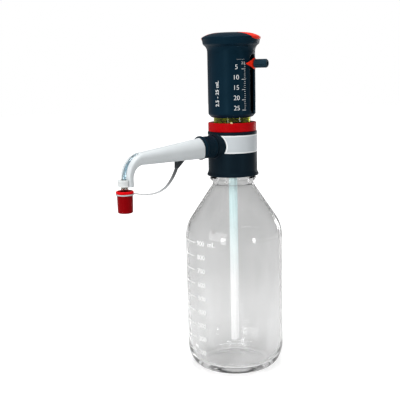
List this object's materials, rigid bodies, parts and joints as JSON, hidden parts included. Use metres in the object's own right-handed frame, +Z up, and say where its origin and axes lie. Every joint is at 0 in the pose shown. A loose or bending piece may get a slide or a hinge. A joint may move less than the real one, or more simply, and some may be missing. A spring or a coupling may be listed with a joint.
{
  "type": "bottle top dispenser",
  "caption": "Plunger dispenser on a screw-neck glass bottle: dark housing with volume slot and pointer, red locking ring, white spout with a tethered red nozzle cap.",
  "frame": {"origin": "centre of the bottle's foot, on the surface that it stands on", "axes": "+Z up along the bottle's and piston's axis, -X along the spout, +Y away from the volume slot"},
  "size_m": [0.199, 0.101, 0.3481],
  "materials": {
    "bottle_glass": "clear, slightly grey-blue at the edges",
    "navy_plastic": "dark navy, satin gloss",
    "red_plastic": "bright crimson, satin gloss",
    "orange_plastic": "orange-red, satin gloss",
    "cap_plastic": "deep red, satin gloss",
    "white_plastic": "off-white, fine matt",
    "arm_plastic": "light grey-white, satin gloss",
    "band_plastic": "light grey print film",
    "grey_plastic": "light grey, matt",
    "dark_plastic": "near black, matt",
    "olive_glass": "clear, olive yellow tint",
    "clear_glass": "clear",
    "tube_plastic": "clear plastic, faint blue tint",
    "filling_tube_plastic": "translucent white",
    "ceramic": "polished white",
    "steel": "bright",
    "seal_rubber": "matt black",
    "cream_plastic": "cream"
  },
  "bodies": {
    "bottle": {"bottle": "bottle_glass"},
    "seal": {"neck_seal": "white_plastic"},
    "dispenser": {"valve_block": "navy_plastic", "printed_band": "band_plastic", "vent_plug": "navy_plastic", "inlet_valve": "white_plastic", "filling_tube_upper": "filling_tube_plastic", "dosing_cylinder": "clear_glass", "guard_sleeve": "olive_glass", "stop_collar": "dark_plastic", "outlet_seat": "white_plastic", "outlet_spring": "steel", "outlet_valve": "white_plastic", "outlet_o_ring": "seal_rubber", "discharge_arm": "arm_plastic", "discharge_tube": "tube_plastic", "nozzle_collar": "arm_plastic", "nozzle": "tube_plastic", "tether_anchor": "dark_plastic", "tether_strap": "grey_plastic"},
    "inlet_ball": {"inlet_ball": "ceramic"},
    "lower_tube": {"filling_tube_lower": "filling_tube_plastic"},
    "ring": {"lock_ring": "red_plastic", "index_pip": "cream_plastic"},
    "plunger": {"piston": "white_plastic", "piston_seal": "white_plastic", "housing": "navy_plastic", "top_cap": "navy_plastic", "grip_pad_front": "orange_plastic", "grip_pad_rear": "orange_plastic"},
    "volume_pointer": {"pointer": "orange_plastic", "pointer_slider": "dark_plastic"},
    "clamp": {"clamp_knob": "navy_plastic", "clamp_stud": "steel"},
    "outlet_ball": {"outlet_ball": "ceramic"},
    "nut": {"union_nut": "navy_plastic"},
    "cap": {"nozzle_cap": "cap_plastic", "tether_ring": "grey_plastic"}
  },
  "joints": [
    {"name": "dispenser_rise", "type": "slide", "parent": "bottle", "child": "seal", "axis": [0, 0, 1], "range_m": [0, 0.02]},
    {"name": "dispenser_turn", "type": "hinge", "parent": "seal", "child": "dispenser", "pos_m": [0, 0, 0.2266], "axis": [0, 0, 1], "range_deg": [0, 1800]},
    {"name": "inlet_ball_lift", "type": "slide", "parent": "dispenser", "child": "inlet_ball", "axis": [0, 0, 1], "range_m": [0, 0.0018]},
    {"name": "filling_tube_telescope", "type": "slide", "parent": "dispenser", "child": "lower_tube", "axis": [0, 0, -1], "range_m": [-0.01, 0.015]},
    {"name": "lock_ring_turn", "type": "hinge", "parent": "dispenser", "child": "ring", "pos_m": [0, 0, 0.2534], "axis": [0, 0, 1], "range_deg": [0, 90]},
    {"name": "piston_stroke", "type": "slide", "parent": "dispenser", "child": "plunger", "axis": [0, 0, 1], "range_m": [-0.005, 0.0456]},
    {"name": "pointer_slide", "type": "slide", "parent": "plunger", "child": "volume_pointer", "axis": [0, 0, -1], "range_m": [0, 0.0456]},
    {"name": "clamp_turn", "type": "hinge", "parent": "volume_pointer", "child": "clamp", "pos_m": [0.01042, -0.03026, 0.31659], "axis": [0.3256, -0.9455, 0], "continuous": true},
    {"name": "outlet_ball_lift", "type": "slide", "parent": "dispenser", "child": "outlet_ball", "axis": [-1, 0, 0], "range_m": [0, 0.0014], "stiffness_N_per_m": 20, "deforming": ["outlet_spring"]},
    {"name": "union_nut_turn", "type": "hinge", "parent": "dispenser", "child": "nut", "pos_m": [-0.038, 0, 0.2348], "axis": [-1, 0, 0], "continuous": true},
    {"name": "nozzle_cap_off", "type": "slide", "parent": "dispenser", "child": "cap", "axis": [0, 0, -1], "range_m": [0, 0.016], "deforming": ["tether_strap"]}
  ],
  "couplings": [
    {"joint": "dispenser_rise", "follows": "dispenser_turn", "m_per_rad": 0.00063662}
  ]
}
